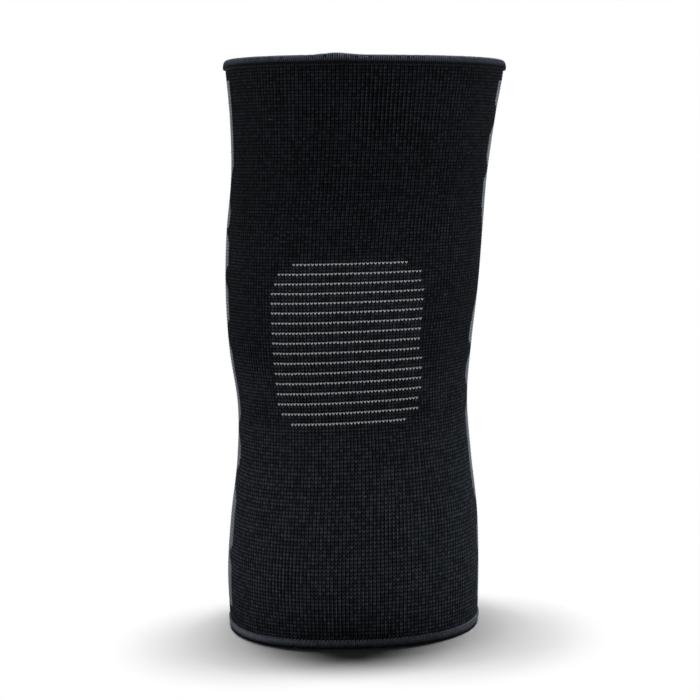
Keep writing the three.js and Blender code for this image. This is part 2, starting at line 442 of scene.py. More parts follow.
@dataclass
class FaceList:
    """Faces of a patch being made: corners, stitch coordinates and bake coordinates."""

    corners: list[Array] = field(default_factory=list)
    knit: list[Array] = field(default_factory=list)
    bake: list[Array] = field(default_factory=list)
    smooth: list[Array] = field(default_factory=list)

    def add(self, corners: Array, knit: Array, bake: Array, smooth: bool) -> None:
        """Adds faces with the same number of corners.

        Args:
            corners: vertex numbers, a row for each face.
            knit: stitch coordinates, faces by corners by two.
            bake: bake coordinates, of the same shape.
            smooth: whether the faces are shaded smooth.
        """
        self.corners.append(corners)
        self.knit.append(knit)
        self.bake.append(bake)
        self.smooth.append(np.full(len(corners), smooth))

    def mesh(self, name: str, points: Array) -> bpy.types.Mesh:
        """Makes the mesh of the faces.

        Args:
            name: the mesh's name.
            points: all the points that the faces number, in metres.

        Returns:
            A closed mesh with only the points that the faces use.
        """
        loops = np.concatenate([part.ravel() for part in self.corners])
        sizes = np.concatenate([np.full(len(part), part.shape[1]) for part in self.corners])
        used, loops = np.unique(loops, return_inverse=True)
        mesh = bpy.data.meshes.new(name)
        mesh.vertices.add(len(used))
        mesh.vertices.foreach_set("co", points[used].ravel())
        mesh.loops.add(len(loops))
        mesh.loops.foreach_set("vertex_index", loops.astype(np.int32))
        mesh.polygons.add(len(sizes))
        starts = np.concatenate([[0], np.cumsum(sizes)[:-1]])
        mesh.polygons.foreach_set("loop_start", starts.astype(np.int32))
        mesh.polygons.foreach_set("use_smooth", np.concatenate(self.smooth))
        for layer, parts in (("OFBake", self.bake), ("Knit", self.knit)):
            uv = mesh.uv_layers.new(name=layer)
            flat = np.concatenate([part.reshape(-1, 2) for part in parts])
            uv.uv.foreach_set("vector", flat.ravel().astype(np.float32))
        mesh.update(calc_edges=True)
        return mesh


@dataclass
class KnitPatch:
    """One closed piece of the wall: raised outside, plain inside, and stepped stitch edges."""

    grid: StitchGrid
    outer: Array
    inner: Array
    outer_band: tuple[float, float] = (0.32, 0.99)
    inner_band: tuple[float, float] = (0.01, 0.28)
    edge_band: tuple[float, float] = (0.29, 0.31)
    margin: float = 0.01
    edge_gap: float = 0.1

    def build(self, name: str, chosen: Array) -> bpy.types.Object:
        """Makes the piece.

        Args:
            name: its name.
            chosen: True for its stitches, rows by columns.

        Returns:
            The object, at the origin.
        """
        faces = FaceList()
        self._outside(faces, chosen)
        self._inside(faces, chosen)
        self._edges(faces, chosen)
        points = np.concatenate([self.outer.reshape(-1, 3), self.inner.reshape(-1, 3)])
        mesh = faces.mesh(name, points)
        return add_object(name, mesh)

    def _outer_id(self, row: Array, col: Array) -> Array:
        """Number of an outer point."""
        wide = self.grid.columns * self.grid.across
        return row * wide + np.mod(col, wide)

    def _inner_id(self, row: Array, col: Array) -> Array:
        """Number of an inner point."""
        start = self.outer.shape[0] * self.outer.shape[1]
        return start + row * self.grid.columns + np.mod(col, self.grid.columns)

    def _spread(self, chosen: Array, col: Array, row: Array, band: tuple[float, float]) -> Array:
        """Bake coordinates that fill a band of the map with the piece's own reach."""
        rows, cols = np.nonzero(chosen)
        wide = max(1, cols.max() + 1 - cols.min())
        tall = max(1, rows.max() + 1 - rows.min())
        u = self.margin + (1 - 2 * self.margin) * (col - cols.min()) / wide
        v = band[0] + (band[1] - band[0]) * (row - rows.min()) / tall
        return np.stack([u, v], axis=-1)

    def _outside(self, faces: FaceList, chosen: Array) -> None:
        """Adds the raised outer face, several small faces to a stitch."""
        grid = self.grid
        rows, cols = np.nonzero(chosen)
        for up in range(grid.upward):
            for along in range(grid.across):
                row = rows * grid.upward + up
                col = cols * grid.across + along
                corner_rows = row[:, None] + np.array([0, 0, 1, 1])
                corner_cols = col[:, None] + np.array([0, 1, 1, 0])
                knit_u = corner_cols / grid.across
                knit_v = corner_rows / grid.upward
                faces.add(
                    self._outer_id(corner_rows, corner_cols),
                    np.stack([knit_u, knit_v], axis=-1),
                    self._spread(chosen, knit_u, knit_v, self.outer_band),
                    True,
                )

    def _inside(self, faces: FaceList, chosen: Array) -> None:
        """Adds the plain inner face."""
        rows, cols = np.nonzero(chosen)
        corner_rows = rows[:, None] + np.array([0, 1, 1, 0])
        corner_cols = cols[:, None] + np.array([0, 0, 1, 1])
        faces.add(
            self._inner_id(corner_rows, corner_cols),
            np.stack([corner_cols, corner_rows], axis=-1).astype(float),
            self._spread(chosen, corner_cols, corner_rows, self.inner_band),
            True,
        )

    def _edges(self, faces: FaceList, chosen: Array) -> None:
        """Adds the faces through the wall along the piece's stepped edges."""
        below = np.zeros_like(chosen)
        below[1:] = chosen[:-1]
        above = np.zeros_like(chosen)
        above[:-1] = chosen[1:]
        grid = self.grid
        tall = np.arange(grid.upward + 1)
        wide = np.arange(grid.across + 1)
        left = chosen & ~np.roll(chosen, 1, axis=1)
        right = chosen & ~np.roll(chosen, -1, axis=1)
        bottom, top = chosen & ~below, chosen & ~above
        self._edge_faces(faces, left, tall, 0 * tall, (0, 1), (0, 0))
        self._edge_faces(faces, right, tall[::-1], 0 * tall + grid.across, (1, 0), (1, 1))
        self._edge_faces(faces, bottom, 0 * wide, wide[::-1], (0, 0), (1, 0))
        self._edge_faces(faces, top, 0 * wide + grid.upward, wide, (1, 1), (0, 1))

    def _edge_faces(
        self,
        faces: FaceList,
        edge: Array,
        steps_up: Array,
        steps_across: Array,
        inner_up: tuple[int, int],
        inner_across: tuple[int, int],
    ) -> None:
        """Adds one face for each stitch on an edge.

        Args:
            faces: the list that they join.
            edge: True for the stitches on this edge.
            steps_up: small steps up of the outer corners, from the first to the last.
            steps_across: small steps across of the same corners.
            inner_up: whole steps up of the inner corners that face the first and last outer ones.
            inner_across: whole steps across of the same two corners.
        """
        rows, cols = np.nonzero(edge)
        if len(rows) == 0:
            return
        grid = self.grid
        outer_rows = rows[:, None] * grid.upward + steps_up
        outer_cols = cols[:, None] * grid.across + steps_across
        inner_rows = rows[:, None] + np.array(inner_up[::-1])
        inner_cols = cols[:, None] + np.array(inner_across[::-1])
        corners = np.concatenate(
            [self._outer_id(outer_rows, outer_cols), self._inner_id(inner_rows, inner_cols)], axis=1
        )
        knit_u = np.concatenate([outer_cols / grid.across, inner_cols], axis=1)
        knit_v = np.concatenate([outer_rows / grid.upward, inner_rows], axis=1)
        start = (np.arange(len(rows)) + self.edge_gap) / len(rows)
        share = np.linspace(0, (1 - 2 * self.edge_gap) / len(rows), len(steps_up))
        outer_u = start[:, None] + share
        inner_u = np.stack([outer_u[:, -1], outer_u[:, 0]], axis=1)
        bake_u = np.concatenate([outer_u, inner_u], axis=1)
        bake_v = np.concatenate(
            [np.full(outer_u.shape, self.edge_band[1]), np.full(inner_u.shape, self.edge_band[0])],
            axis=1,
        )
        faces.add(
            corners,
            np.stack([knit_u, knit_v], axis=-1),
            np.stack([bake_u, bake_v], axis=-1),
            False,
        )


def add_object(name: str, data: bpy.types.ID) -> bpy.types.Object:
    """New object at the origin, in the scene."""
    obj = bpy.data.objects.new(name, data)
    bpy.context.scene.collection.objects.link(obj)
    return obj


@dataclass
class NodeBench:
    """Adds nodes to a tree and links them."""

    tree: bpy.types.NodeTree
    placed: int = 0

    def add(self, kind: str, inputs: dict | None = None, **settings: object) -> bpy.types.Node:
        """Adds a node.

        Args:
            kind: the node's type.
            inputs: what each input gets, by name or number: a value, or a socket to link.
            settings: the node's own properties.

        Returns:
            The node.
        """
        node = self.tree.nodes.new(kind)
        node.location = (200 * self.placed, 0)
        self.placed += 1
        for name, value in settings.items():
            setattr(node, name, value)
        for key, value in (inputs or {}).items():
            if isinstance(value, bpy.types.NodeSocket):
                self.tree.links.new(value, node.inputs[key])
            else:
                node.inputs[key].default_value = value
        return node

    def math(self, operation: str, *values: object) -> bpy.types.NodeSocket:
        """Result of a Math node on values or sockets."""
        node = self.add("ShaderNodeMath", dict(enumerate(values)), operation=operation)
        return node.outputs[0]

    def mix(self, share: object, first: object, second: object) -> bpy.types.NodeSocket:
        """Mix of two colours."""
        node = self.add("ShaderNodeMix", {0: share, 6: first, 7: second}, data_type="RGBA")
        return node.outputs[2]

    def noise(self, place: object, scale: float, detail: float) -> bpy.types.NodeSocket:
        """Soft noise from 0 to 1."""
        node = self.add("ShaderNodeTexNoise", {"Vector": place, "Scale": scale, "Detail": detail})
        return node.outputs["Fac"]

    def ramp(
        self,
        value: object,
        reach: tuple[float, float],
        results: tuple[float, float],
        kind: str = "SMOOTHSTEP",
    ) -> bpy.types.NodeSocket:
        """Maps a value, held level past both ends of its reach.

        Args:
            value: what is mapped.
            reach: its two ends.
            results: what comes out at each end.
            kind: the node's interpolation type.

        Returns:
            The mapped value.
        """
        inputs = {0: value, 1: reach[0], 2: reach[1], 3: results[0], 4: results[1]}
        return self.add("ShaderNodeMapRange", inputs, interpolation_type=kind).outputs[0]

    def scaled(self, colour: object, gain: object) -> bpy.types.NodeSocket:
        """A colour made lighter or darker."""
        node = self.add("ShaderNodeVectorMath", {0: colour, "Scale": gain}, operation="SCALE")
        return node.outputs[0]


@dataclass(frozen=True)
class KnitFinish:
    """Yarn knitted in plain stitches that follow the Knit map, with shade painted into the gaps
    between its legs.

    The calf, neck and thigh gains are painted light and shade by height up the sleeve. calf_fade is
    in rows, and the three other reaches are heights in metres.
    """

    name: str
    yarn: Colour
    # Nearly black painted shade in the gaps between the legs.
    gap: Colour
    # Painted light at the calf and below the knee, painted shade over the thigh.
    calf_gain: float = 1.0
    neck_gain: float = 1.0
    thigh_gain: float = 1.0
    stitch_spread: float = 0.75
    cloud_spread: float = 0.2
    fuzz_spread: float = 1.2
    lean: float = 1.2
    roughness: float = 0.85
    sheen: float = 0.02
    sheen_roughness: float = 0.6
    relief: float = 0.25
    bump_strength: float = 0.7
    leg_depth: float = 0.88
    roundness: float = 1.1
    cloud_scale: float = 45.0
    fuzz_scale: float = 1300.0
    drift_scale: float = 28.0
    calf_fade: tuple[float, float] = (44.0, 60.0)
    neck_rise: tuple[float, float] = (0.085, 0.1)
    neck_fall: tuple[float, float] = (0.118, 0.14)
    thigh_fade: tuple[float, float] = (0.18, 0.215)
    seed: float = 0.0

    def build(self) -> bpy.types.Material:
        """Makes the material."""
        material = bpy.data.materials.new(self.name)
        material.use_nodes = True
        material.node_tree.nodes.clear()
        bench = NodeBench(material.node_tree)
        place = bench.add("ShaderNodeUVMap", uv_map="Knit")
        split = bench.add("ShaderNodeSeparateXYZ", {0: place.outputs[0]})
        column, row = split.outputs[0], split.outputs[1]
        height = self._stitch_height(bench, column, row)
        colour = self._colour(bench, column, row, height)
        bump = bench.add(
            "ShaderNodeBump",
            {"Strength": self.bump_strength, "Distance": self.relief * MM, "Height": height},
        )
        shader = bench.add(
            "ShaderNodeBsdfPrincipled",
            {
                "Base Color": colour,
                "Roughness": self.roughness,
                "Specular IOR Level": 0.0,
                "Sheen Weight": self.sheen,
                "Sheen Roughness": self.sheen_roughness,
                "Normal": bump.outputs[0],
            },
        )
        bench.add("ShaderNodeOutputMaterial", {0: shader.outputs[0]})
        return material

    def _stitch_height(
        self, bench: NodeBench, column: bpy.types.NodeSocket, row: bpy.types.NodeSocket
    ) -> bpy.types.NodeSocket:
        """Height of the yarn, which has two legs in every stitch.

        Args:
            bench: where the nodes go.
            column: place across, in stitches.
            row: place up, in rows.

        Returns:
            0 between the stitches and nearly 1 on a leg.
        """
        across = bench.math("FRACT", column)
        edge = bench.math("ABSOLUTE", bench.math("MULTIPLY_ADD", across, 2.0, -1.0))
        leg = self._hump(bench, edge)
        leg = bench.math("MULTIPLY_ADD", leg, self.leg_depth, 1 - self.leg_depth)
        body = bench.math("POWER", self._hump(bench, across), self.roundness)
        strand = bench.math("POWER", self._hump(bench, bench.math("FRACT", row)), self.roundness)
        return bench.math("MULTIPLY", bench.math("MULTIPLY", strand, body), leg)

    def _hump(self, bench: NodeBench, place: bpy.types.NodeSocket) -> bpy.types.NodeSocket:
        """Half a wave, from 0 up to 1 and down again between the places 0 and 1."""
        wave = bench.math("SINE", bench.math("MULTIPLY", place, math.pi))
        return bench.math("MAXIMUM", wave, 0.0)

    def _colour(
        self,
        bench: NodeBench,
        column: bpy.types.NodeSocket,
        row: bpy.types.NodeSocket,
        height: bpy.types.NodeSocket,
    ) -> bpy.types.NodeSocket:
        """Colour from the yarn's height, which paints shade into the gaps between the legs, with a
        little change from place to place and painted light and shade by height up the sleeve.

        Args:
            bench: where the nodes go.
            column: place across, in stitches.
            row: place up, in rows.
            height: the yarn's height.

        Returns:
            The colour.
        """
        cell = bench.add(
            "ShaderNodeCombineXYZ",
            {0: bench.math("FLOOR", column), 1: bench.math("FLOOR", row), 2: self.seed},
        )
        chance = bench.add("ShaderNodeTexWhiteNoise", {"Vector": cell.outputs[0]})
        where = bench.add("ShaderNodeTexCoord").outputs["Object"]
        cloud = bench.noise(where, self.cloud_scale, 2.0)
        low = 1 - self.stitch_spread / 2 - self.cloud_spread / 2
        gain = bench.math("MULTIPLY_ADD", chance.outputs["Value"], self.stitch_spread, low)
        gain = bench.math("MULTIPLY_ADD", cloud, self.cloud_spread, gain)
        # Painted light on the calf rows, which also stands for their looser knit's lighter tone.
        calf = bench.ramp(row, self.calf_fade, (self.calf_gain, 1.0), "LINEAR")
        gain = bench.math("MULTIPLY", gain, calf)
        up = bench.add("ShaderNodeSeparateXYZ", {0: where}).outputs[2]
        # Painted light on the band below the knee, then painted shade over the thigh, by height.
        for reach, end in (
            (self.neck_rise, self.neck_gain),
            (self.neck_fall, 1 / self.neck_gain),
            (self.thigh_fade, self.thigh_gain),
        ):
            gain = bench.math("MULTIPLY", gain, bench.ramp(up, reach, (1.0, end)))
        fuzz = bench.noise(where, self.fuzz_scale, 1.0)
        fuzz = bench.math("MULTIPLY_ADD", fuzz, self.fuzz_spread, 1 - self.fuzz_spread / 2)
        gain = bench.math("MULTIPLY", gain, fuzz)
        drift = bench.noise(where, self.drift_scale, 1.0)
        side = bench.math("SINE", bench.math("MULTIPLY", bench.math("FRACT", column), 2 * math.pi))
        bias = bench.math("MULTIPLY_ADD", drift, 2 * self.lean, -self.lean)
        gain = bench.math("MULTIPLY", gain, bench.math("MULTIPLY_ADD", side, bias, 1.0))
        # Painted shade: the mix by the yarn's height darkens the gaps between the legs towards the
        # gap colour, and the crests keep the yarn's colour, lifted a little as painted sheen.
        colour = bench.mix(height, (*self.gap, 1.0), (*self.yarn, 1.0))
        return bench.scaled(colour, gain)


@dataclass(frozen=True)
class ThreadFinish:
    """Thread with a fine grain, which may have shade painted along a wrap, and whose colour may
    change towards +X.

    wrap_reach is in shares of the wrap's length, and right_reach in metres.
    """

    name: str
    colour: Colour
    spread: float = 0.5
    roughness: float = 0.6
    shine: float = 0.12
    start_gain: float = 1.0
    top_gain: float = 1.0
    right_gain: float = 1.0
    grain_scale: float = 700.0
    wrap_reach: tuple[float, float] = (0.1, 0.38)
    right_reach: tuple[float, float] = (-0.01, 0.025)

    def build(self) -> bpy.types.Material:
        """Makes the material."""
        material = bpy.data.materials.new(self.name)
        material.use_nodes = True
        material.node_tree.nodes.clear()
        bench = NodeBench(material.node_tree)
        where = bench.add("ShaderNodeTexCoord").outputs["Object"]
        dark = tuple(part * (1 - self.spread) for part in self.colour)
        light = tuple(part * (1 + self.spread) for part in self.colour)
        grain = bench.noise(where, self.grain_scale, 2.0)
        colour = bench.mix(grain, (*dark, 1.0), (*light, 1.0))
        # Painted shade along the wrap, set by the two gains: at its base, where it tucks into the
        # knit, and over the rim's end and inside.
        if self.start_gain != self.top_gain:
            share = bench.add("ShaderNodeAttribute", attribute_name="share").outputs["Fac"]
            ends = (self.start_gain, self.top_gain)
            colour = bench.scaled(colour, bench.ramp(share, self.wrap_reach, ends, "LINEAR"))
        if self.right_gain != 1.0:
            across = bench.add("ShaderNodeSeparateXYZ", {0: where}).outputs[0]
            ends = (1.0, self.right_gain)
            colour = bench.scaled(colour, bench.ramp(across, self.right_reach, ends))
        shader = bench.add(
            "ShaderNodeBsdfPrincipled",
            {
                "Base Color": colour,
                "Roughness": self.roughness,
                "Specular IOR Level": self.shine,
            },
        )
        bench.add("ShaderNodeOutputMaterial", {0: shader.outputs[0]})
        return material


class StrandShape(Enum):
    """Path of the strand that a strand tree repeats."""

    LEG = "leg"
    WRAP = "wrap"


@dataclass
class StrandTree:
    """Geometry Nodes that lay one strand of thread at every point.

    The points carry the vectors along and outward, and the vector size that scales the strand.
    leg_end and wrap_end are how thick the thread is at its ends, as a share of its middle.
    """

    shape: StrandShape
    radius: float
    sides: int = 6
    steps: int = 5
    arch: float = 0.2
    half_width: float = 1.95
    depth: float = 3.75
    slant: float = 0.6
    bluntness: float = 0.1
    roundness: float = 0.85
    leg_end: float = 0.35
    wrap_end: float = 0.8

    def lay(
        self,
        name: str,
        points: Array,
        along: Array,
        outward: Array,
        size: Array,
        material: bpy.types.Material,
    ) -> bpy.types.Object:
        """Lays the strands and makes them one plain mesh.

        Args:
            name: the piece's name.
            points: where the strands lie, in metres.
            along: the strand's own X direction at each point.
            outward: the strand's own Z direction at each point.
            size: scale of each strand along its own X, Y and Z.
            material: the thread's finish.

        Returns:
            The piece, with no modifier left on it.
        """
        carrier_mesh = bpy.data.meshes.new(name + "_points")
        carrier_mesh.from_pydata(points.tolist(), [], [])
        for key, values in (("along", along), ("outward", outward), ("size", size)):
            layer = carrier_mesh.attributes.new(key, "FLOAT_VECTOR", "POINT")
            layer.data.foreach_set("vector", values.astype(np.float32).ravel())
        carrier = add_object(name + "_points", carrier_mesh)
        tree = self._tree(name + "_tree")
        modifier = carrier.modifiers.new("strands", "NODES")
        modifier.node_group = tree
        wanted = {
            "Radius": self.radius * MM,
            "Arch": self.arch,
            "Half Width": self.half_width * MM,
            "Depth": self.depth * MM,
            "Slant": self.slant * MM,
            "Material": material,
        }
        for item in tree.interface.items_tree:
            if item.item_type == "SOCKET" and item.in_out == "INPUT" and item.name in wanted:
                modifier[item.identifier] = wanted[item.name]
        carrier.update_tag()
        bpy.context.view_layer.update()
        graph = bpy.context.evaluated_depsgraph_get()
        mesh = bpy.data.meshes.new_from_object(carrier.evaluated_get(graph))
        mesh.name = name
        bpy.data.objects.remove(carrier)
        bpy.data.meshes.remove(carrier_mesh)
        return add_object(name, mesh)

    def _tree(self, name: str) -> bpy.types.NodeTree:
        """Builds the tree."""
        tree = bpy.data.node_groups.new(name, "GeometryNodeTree")
        face = tree.interface
        face.new_socket("Points", in_out="INPUT", socket_type="NodeSocketGeometry")
        for size in ("Radius", "Arch", "Half Width", "Depth", "Slant"):
            face.new_socket(size, in_out="INPUT", socket_type="NodeSocketFloat")
        face.new_socket("Material", in_out="INPUT", socket_type="NodeSocketMaterial")
        face.new_socket("Strands", in_out="OUTPUT", socket_type="NodeSocketGeometry")
        bench = NodeBench(tree)
        given = bench.add("NodeGroupInput")
        line = bench.add("GeometryNodeCurvePrimitiveLine", {"Start": (0, 0, 0), "End": (1, 0, 0)})
        path = bench.add(
            "GeometryNodeResampleCurve", {"Curve": line.outputs[0], "Count": self.steps}
        )
        share = bench.add("GeometryNodeSplineParameter").outputs["Factor"]
        bow = bench.math("SINE", bench.math("MULTIPLY", share, math.pi))
        if self.shape is StrandShape.WRAP:
            place, end = self._wrap(bench, given, share, bow), self.wrap_end
        else:
            place, end = self._leg(bench, given, share, bow), self.leg_end
        moved = bench.add(
            "GeometryNodeSetPosition", {"Geometry": path.outputs[0], "Position": place}
        )
        full = bench.math("POWER", bench.math("MAXIMUM", bow, 0.0), 0.5)
        thick = bench.math("MULTIPLY_ADD", full, 1 - end, end)
        sized = bench.add(
            "GeometryNodeSetCurveRadius", {"Curve": moved.outputs[0], "Radius": thick}
        )
        marked = bench.add(
            "GeometryNodeStoreNamedAttribute",
            {"Geometry": sized.outputs[0], "Name": "share", "Value": share},
            data_type="FLOAT",
            domain="POINT",
        )
        ring = bench.add(
            "GeometryNodeCurvePrimitiveCircle",
            {"Resolution": self.sides, "Radius": given.outputs["Radius"]},
        )
        strand = bench.add(
            "GeometryNodeCurveToMesh",
            {"Curve": marked.outputs[0], "Profile Curve": ring.outputs[0], "Fill Caps": True},
        )
        along, outward, size = (
            bench.add("GeometryNodeInputNamedAttribute", {"Name": key}, data_type="FLOAT_VECTOR")
            for key in ("along", "outward", "size")
        )
        turned = bench.add(
            "FunctionNodeAxesToRotation",
            {"Primary Axis": outward.outputs[0], "Secondary Axis": along.outputs[0]},
            primary_axis="Z",
            secondary_axis="X",
        )
        laid = bench.add(
            "GeometryNodeInstanceOnPoints",
            {
                "Points": given.outputs["Points"],
                "Instance": strand.outputs[0],
                "Rotation": turned.outputs[0],
                "Scale": size.outputs[0],
            },
        )
        real = bench.add("GeometryNodeRealizeInstances", {"Geometry": laid.outputs[0]})
        smooth = bench.add("GeometryNodeSetShadeSmooth", {"Geometry": real.outputs[0]})
        dressed = bench.add(
            "GeometryNodeSetMaterial",
            {"Geometry": smooth.outputs[0], "Material": given.outputs["Material"]},
        )
        bench.add("NodeGroupOutput", {0: dressed.outputs[0]})
        return tree

    def _leg(
        self,
        bench: NodeBench,
        given: bpy.types.Node,
        share: bpy.types.NodeSocket,
        bow: bpy.types.NodeSocket,
    ) -> bpy.types.NodeSocket:
        """Path of unit length along X, arched along Z.

        Args:
            bench: where the nodes go.
            given: the tree's inputs.
            share: place along the path, from 0 to 1.
            bow: half a wave along it.

        Returns:
            The path's places.
        """
        x = bench.math("SUBTRACT", share, 0.5)
        z = bench.math("MULTIPLY", bench.math("MULTIPLY", bow, given.outputs["Arch"]), MM)
        return bench.add("ShaderNodeCombineXYZ", {0: x, 1: 0.0, 2: z}).outputs[0]

    def _wrap(
        self,
        bench: NodeBench,
        given: bpy.types.Node,
        share: bpy.types.NodeSocket,
        bow: bpy.types.NodeSocket,
    ) -> bpy.types.NodeSocket:
        """Path from the outside of the rim over its end to the inside, slanted along the rim.

        Args:
            bench: where the nodes go.
            given: the tree's inputs.
            share: place along the path, from 0 to 1.
            bow: half a wave along it.

        Returns:
            The path's places.
        """
        side = bench.math("COSINE", bench.math("MULTIPLY", share, math.pi))
        flat = bench.math("MAXIMUM", bench.math("ABSOLUTE", side), 0.0001)
        blunt = bench.math("POWER", flat, -self.bluntness)
        x = bench.math("MULTIPLY", bench.math("MULTIPLY", side, blunt), given.outputs["Half Width"])
        y = bench.math("MULTIPLY", bench.math("SUBTRACT", share, 0.5), given.outputs["Slant"])
        rise = bench.math("POWER", bench.math("MAXIMUM", bow, 0.0), self.roundness)
        z = bench.math("MULTIPLY", rise, given.outputs["Depth"])
        return bench.add("ShaderNodeCombineXYZ", {0: x, 1: y, 2: z}).outputs[0]


@dataclass
class KnittedWall:
    """The seamless wall, made in three lengths, with the panel and the side zones knitted in."""

    grid: StitchGrid
    chart: Array
    calf_rows: int = 56
    knee_rows: int = 112
    black: KnitFinish = KnitFinish(
        "black_knit",
        yarn=(0.039, 0.0465, 0.058),
        gap=(0.0002, 0.0002, 0.0003),
        # Painted light at the calf and below the knee, painted shade over the thigh; the calf is
        # also lighter for its looser knit.
        calf_gain=2.0,
        neck_gain=1.4,
        thigh_gain=0.84,
    )
    panel: KnitFinish = KnitFinish(
        "panel_knit", yarn=(0.058, 0.07, 0.083), gap=(0.0002, 0.0003, 0.0003), seed=3.0
    )
    grey: KnitFinish = KnitFinish(
        "grey_knit",
        yarn=(0.42, 0.45, 0.5),
        gap=(0.1, 0.107, 0.118),
        stitch_spread=0.25,
        fuzz_spread=0.4,
        lean=0.5,
        seed=5.0,
    )

    def build(self) -> list[bpy.types.Object]:
        """Makes the pieces and hides the imported parts that they stand for."""
        patch = KnitPatch(self.grid, self.grid.outer_face(), self.grid.inner_face())
        black, panel, grey = self.black.build(), self.panel.build(), self.grey.build()
        rows = np.arange(self.grid.rows)[:, None]
        tube, back, left, right = (self.chart == area.value for area in Area)
        calf, knee = rows < self.calf_rows, rows < self.knee_rows
        plan = [
            ("calf_knit", tube & calf, black, "knit_tube", "knit_black"),
            ("knee_knit", tube & knee & ~calf, black, "knit_tube", "knit_black"),
            ("thigh_knit", tube & ~knee, black, "knit_tube", "knit_black"),
            ("panel_knit", back, panel, "knee_back_panel", "knit_ribbed"),
            ("left_zone_knit", left, grey, "side_zone_left", "knit_grey"),
            ("right_zone_knit", right, grey, "side_zone_right", "knit_grey"),
        ]
        pieces = []
        for name, chosen, finish, node, slot in plan:
            piece = patch.build(name, chosen)
            piece.data.materials.append(finish)
            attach(piece, "root")
            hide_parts(node)
            report(piece)
            pieces.append(piece)
        return pieces


@dataclass
class LightCourses:
    """Rows of light yarn across the panel, a V of two legs on every stitch."""

    grid: StitchGrid
    chart: Array
    first_row: int = 59
    every: int = 3
    count: int = 17
    yarn_radius: float = 0.19
    low_lift: float = 0.45
    high_lift: float = -0.05
    zigzag: float = 0.78
    leg_share: float = 0.68
    leg_middle: float = 0.28
    wider: tuple[int, ...] = (1,)
    stray: float = 0.07
    finish: ThreadFinish = ThreadFinish(
        "light_yarn", (0.66, 0.69, 0.73), spread=0.3, roughness=0.9
    )

    def build(self) -> bpy.types.Object:
        """Makes the rows as one piece."""
        grid = self.grid
        points, along, outward, size = [], [], [], []
        for index, row in enumerate(self.first_row + self.every * np.arange(self.count)):
            cols = np.nonzero(self.chart[row] == Area.PANEL.value)[0] - grid.columns / 2
            if self.count - 1 - index in self.wider:
                cols = np.concatenate([[cols[0] - 1], cols, [cols[-1] + 1]])
            for side in (-1, 1):
                self._legs(row, cols, side, points, along, outward, size)
        strands = StrandTree(StrandShape.LEG, self.yarn_radius, sides=6, steps=5, arch=0.12)
        piece = strands.lay(
            "light_courses",
            np.concatenate(points),
            np.concatenate(along),
            np.concatenate(outward),
            np.concatenate(size),
            self.finish.build(),
        )
        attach(piece, "root")
        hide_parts("knee_back_panel")
        report(piece)
        return piece

    def _legs(
        self,
        row: int,
        cols: Array,
        side: int,
        points: list[Array],
        along: list[Array],
        outward: list[Array],
        size: list[Array],
    ) -> None:
        """Adds the legs on one side of every stitch of a row to the lists.

        Args:
            row: the row's number.
            cols: columns of its stitches, from the back of the knee.
            side: -1 for the legs towards -X and 1 for those towards +X.
            points: where the strands lie.
            along: their own X directions.
            outward: their own Z directions.
            size: their scales.
        """
        grid = self.grid
        rng = np.random.default_rng(SEED + 2 * int(row) + (side > 0))
        low_end = (0.5, -0.5, self.low_lift)
        high_end = (0.5 + 0.5 * side, 0.5, self.high_lift)
        ends = []
        for across, up, lift in (low_end, high_end):
            height = grid.height_at(np.array([row + 0.5 + self.zigzag * up]))
            turns = grid.turn_at(cols + across, height)[0]
            heights = height[0] + rng.normal(0, self.stray, len(turns))
            ends.append(grid.place(turns, heights, lift))
        step = ends[1] - ends[0]
        length = np.linalg.norm(step, axis=1)
        middle_turns = grid.turn_at(cols + 0.5 + 0.25 * side, grid.height_at(np.array([row + 0.5])))
        heights = np.full(len(cols), grid.height_at(np.array([row + 0.5]))[0])
        points.append((1 - self.leg_middle) * ends[0] + self.leg_middle * ends[1])
        along.append(step / length[:, None])
        outward.append(grid.leg.directions(middle_turns[0], heights)[2])
        ones = np.ones(len(cols))
        size.append(np.stack([self.leg_share * length, ones, ones], axis=-1))


class Rim(Enum):
    """The two ends of the sleeve."""

    CALF = -1
    THIGH = 1


